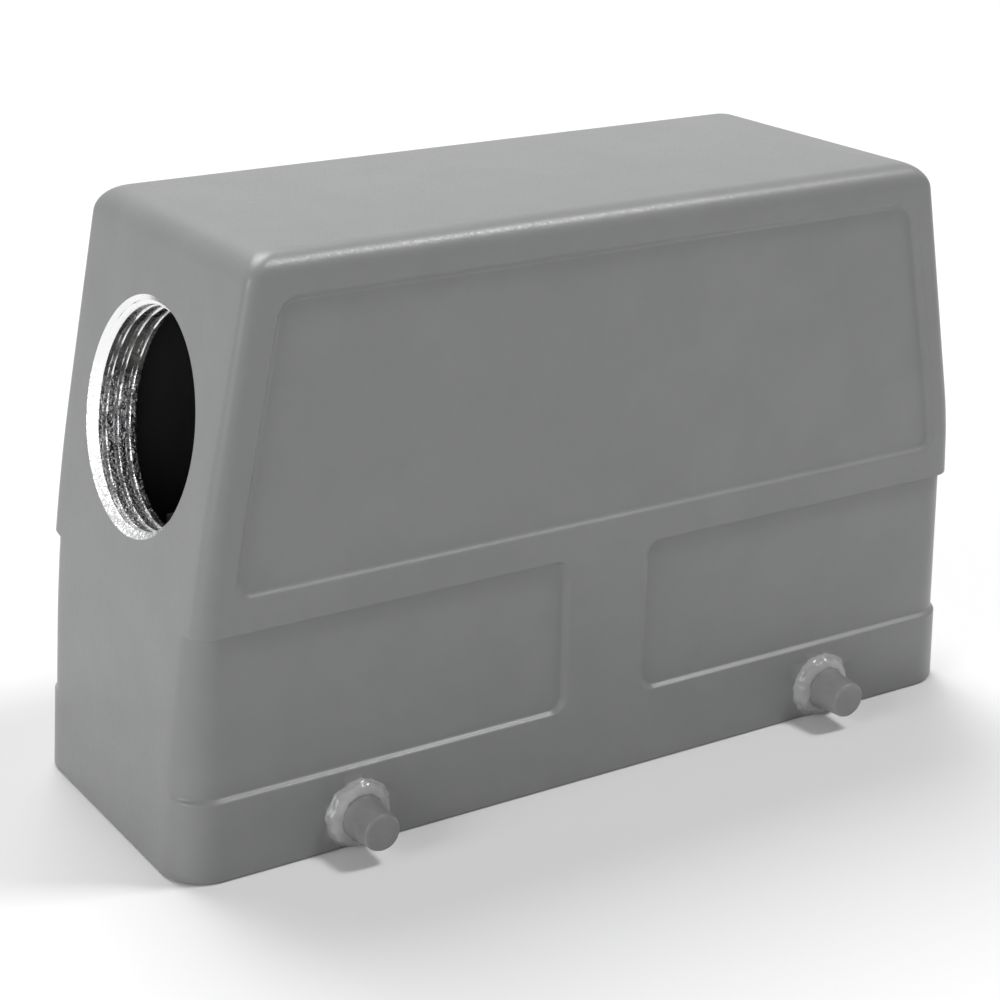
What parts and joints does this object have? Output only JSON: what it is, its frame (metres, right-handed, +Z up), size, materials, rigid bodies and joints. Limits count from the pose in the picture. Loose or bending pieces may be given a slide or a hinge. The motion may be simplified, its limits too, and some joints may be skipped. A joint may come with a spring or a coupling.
{
  "type": "heavy duty rectangular connector",
  "caption": "Die-cast connector hood with a threaded side cable entry, sunk side panels and locking pegs, holding a pin contact insert with screw terminals.",
  "frame": {"origin": "middle of the rim, on the plane that the rim stands on", "axes": "+X along the hood, away from the cable entry; +Y across it, towards the rear long side; +Z up, from rim to roof"},
  "size_m": [0.121, 0.0554, 0.0755],
  "materials": {
    "powder_coat": "matt powder coat on die-cast aluminium, fine orange peel; bare machined thread in the entry",
    "insert_plastic": "moulded light grey polycarbonate",
    "contact_metal": "turned copper alloy, silver plated",
    "earth_plate": "zinc-plated steel",
    "screw_steel": "zinc-plated steel"
  },
  "bodies": {
    "root": {"hood": "powder_coat", "insert_body": "insert_plastic", "contact_01": "contact_metal", "contact_02": "contact_metal", "contact_03": "contact_metal", "contact_04": "contact_metal", "contact_05": "contact_metal", "contact_06": "contact_metal", "contact_07": "contact_metal", "contact_08": "contact_metal", "contact_09": "contact_metal", "contact_10": "contact_metal", "contact_11": "contact_metal", "contact_12": "contact_metal", "contact_13": "contact_metal", "contact_14": "contact_metal", "contact_15": "contact_metal", "contact_16": "contact_metal", "contact_17": "contact_metal", "contact_18": "contact_metal", "contact_19": "contact_metal", "contact_20": "contact_metal", "contact_21": "contact_metal", "contact_22": "contact_metal", "contact_23": "contact_metal", "contact_24": "contact_metal", "terminal_screws": "screw_steel", "pe_bracket_entry": "earth_plate", "pe_bracket_far": "earth_plate", "pe_screws": "screw_steel", "pe_washers": "screw_steel", "fixing_screws": "screw_steel"}
  },
  "joints": []
}
